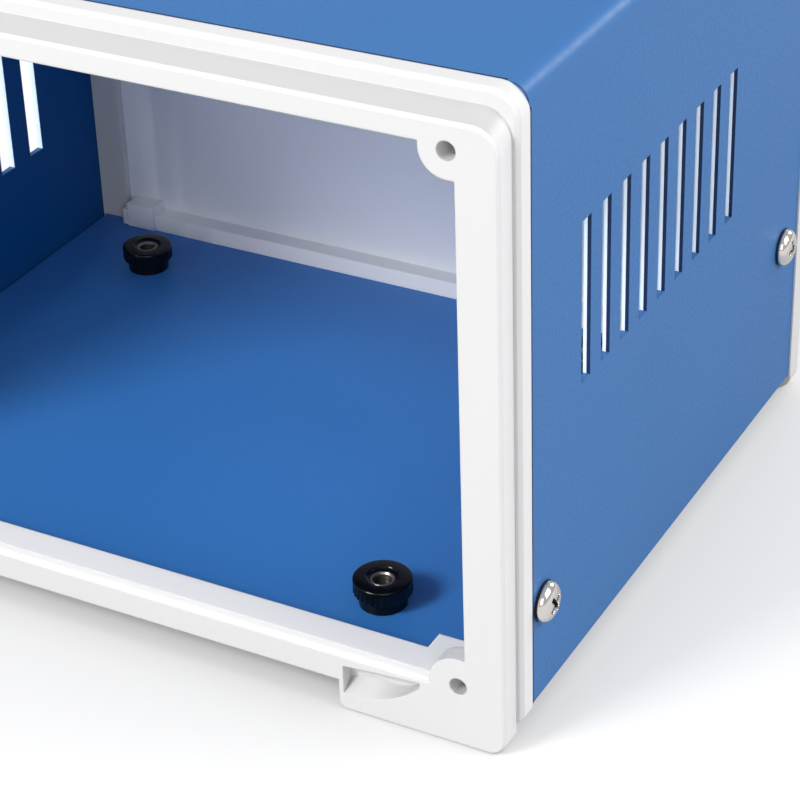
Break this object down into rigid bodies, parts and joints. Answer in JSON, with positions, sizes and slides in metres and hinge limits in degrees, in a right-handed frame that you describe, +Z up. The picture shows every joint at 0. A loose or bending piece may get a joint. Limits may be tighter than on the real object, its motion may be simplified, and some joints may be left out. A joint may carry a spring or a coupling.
{
  "type": "instrument enclosure",
  "caption": "Desktop instrument case: folded sheet-steel cover over a floor plate, moulded end bezels with integral feet, vent slots, open front, flat rear panel and thumb nuts inside.",
  "frame": {"origin": "on the ground in the middle of the case's footprint", "axes": "+X to the right seen from the front, +Y from the open front to the rear panel, +Z up"},
  "size_m": [0.1604, 0.127, 0.1108],
  "materials": {
    "blue_coat": "fine textured powder coat",
    "white_plastic": "fine satin",
    "panel_plastic": "fine satin",
    "nickel": "bright nickel plate",
    "black_plastic": "gloss",
    "bushing_steel": "turned",
    "stud_steel": "zinc plate"
  },
  "bodies": {
    "root": {"case_cover": "blue_coat", "floor_plate": "blue_coat", "floor_stud_front_left": "stud_steel", "floor_stud_front_right": "stud_steel", "floor_stud_rear_left": "stud_steel", "floor_stud_rear_right": "stud_steel", "front_bezel": "white_plastic", "nut_bushing_front_left": "bushing_steel", "nut_bushing_front_right": "bushing_steel", "nut_bushing_rear_left": "bushing_steel", "nut_bushing_rear_right": "bushing_steel", "rear_bezel": "white_plastic", "rear_panel": "panel_plastic", "side_screw_front_left": "nickel", "side_screw_front_right": "nickel", "side_screw_rear_right": "nickel", "thumb_nut_front_left": "black_plastic", "thumb_nut_front_right": "black_plastic", "thumb_nut_rear_left": "black_plastic", "thumb_nut_rear_right": "black_plastic"}
  },
  "joints": []
}
